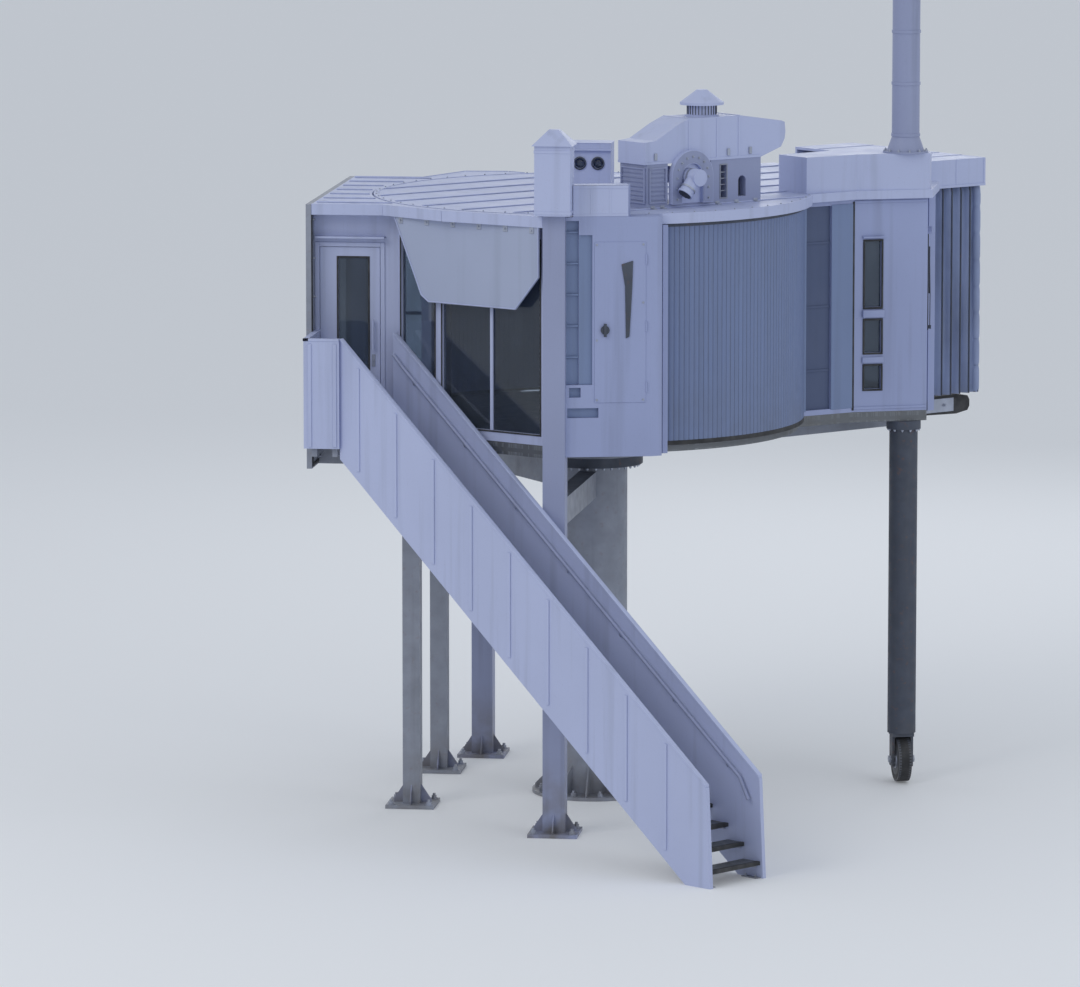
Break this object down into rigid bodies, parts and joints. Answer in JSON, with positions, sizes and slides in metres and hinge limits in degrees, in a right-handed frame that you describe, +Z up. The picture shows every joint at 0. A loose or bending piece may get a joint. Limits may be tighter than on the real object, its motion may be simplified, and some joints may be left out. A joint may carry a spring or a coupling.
{
  "type": "passenger boarding bridge",
  "caption": "Fixed-link boarding bridge on a pedestal with a turning cab, slat curtains, front canopy, service door and outside stair.",
  "frame": {"origin": "on the apron, on the vertical axis about which the cab turns, under the middle of the pedestal", "axes": "+Z up; +X along the link from the terminal wall towards the cab; +Y across the link, away from the service stair"},
  "size_m": [7.4289, 10.0772, 9.4006],
  "materials": {
    "white_paint": "satin",
    "slate_slats": "satin",
    "grey_steel": "satin",
    "dark_steel": "rough",
    "floor_deck": "ribbed",
    "window_glass": "clear tinted",
    "canopy_fabric": "matt coated",
    "black_rubber": "matt"
  },
  "bodies": {
    "root": {"pedestal": "grey_steel", "slewing_ring": "dark_steel", "crossbeam": "grey_steel", "link_beams": "grey_steel", "rear_trestle": "grey_steel", "link_floor": "floor_deck", "link_near_wall": "white_paint", "link_far_wall": "white_paint", "link_glazing": "window_glass", "link_roof": "white_paint", "wall_flange": "grey_steel", "near_column": "white_paint", "far_column": "white_paint", "column_head": "white_paint", "near_wing_wall": "white_paint", "far_wing_wall": "white_paint", "curtain_housing": "white_paint", "near_curtain": "slate_slats", "far_curtain": "slate_slats", "weather_screen": "slate_slats", "landing": "grey_steel", "landing_parapet": "white_paint", "stair_near_balustrade": "white_paint", "stair_far_balustrade": "white_paint", "stair_treads": "floor_deck"},
    "service_door": {"service_door": "white_paint", "door_glazing": "window_glass"},
    "cab": {"turntable": "grey_steel", "cab_floor": "floor_deck", "operator_side_wall": "white_paint", "far_side_wall": "white_paint", "operator_glazing": "window_glass", "front_frame": "white_paint", "canopy_bellows": "canopy_fabric", "canopy_hood": "white_paint", "front_bumper": "black_rubber", "cab_roof": "white_paint", "roof_box": "white_paint", "mast": "white_paint", "support_leg": "dark_steel", "equipment_base": "grey_steel", "equipment_hood": "white_paint", "intake_arch": "white_paint", "cowl": "white_paint", "lamp_box": "white_paint"}
  },
  "joints": [
    {"name": "cab_swivel", "type": "hinge", "parent": "root", "child": "cab", "pos_m": [0, 0, 4], "axis": [0, 0, 1], "range_deg": [-45, 25], "deforming": ["near_curtain", "far_curtain"]},
    {"name": "service_door_hinge", "type": "hinge", "parent": "root", "child": "service_door", "pos_m": [-2.944, -1.386, 4.4], "axis": [0, 0, 1], "range_deg": [0, 90]}
  ]
}
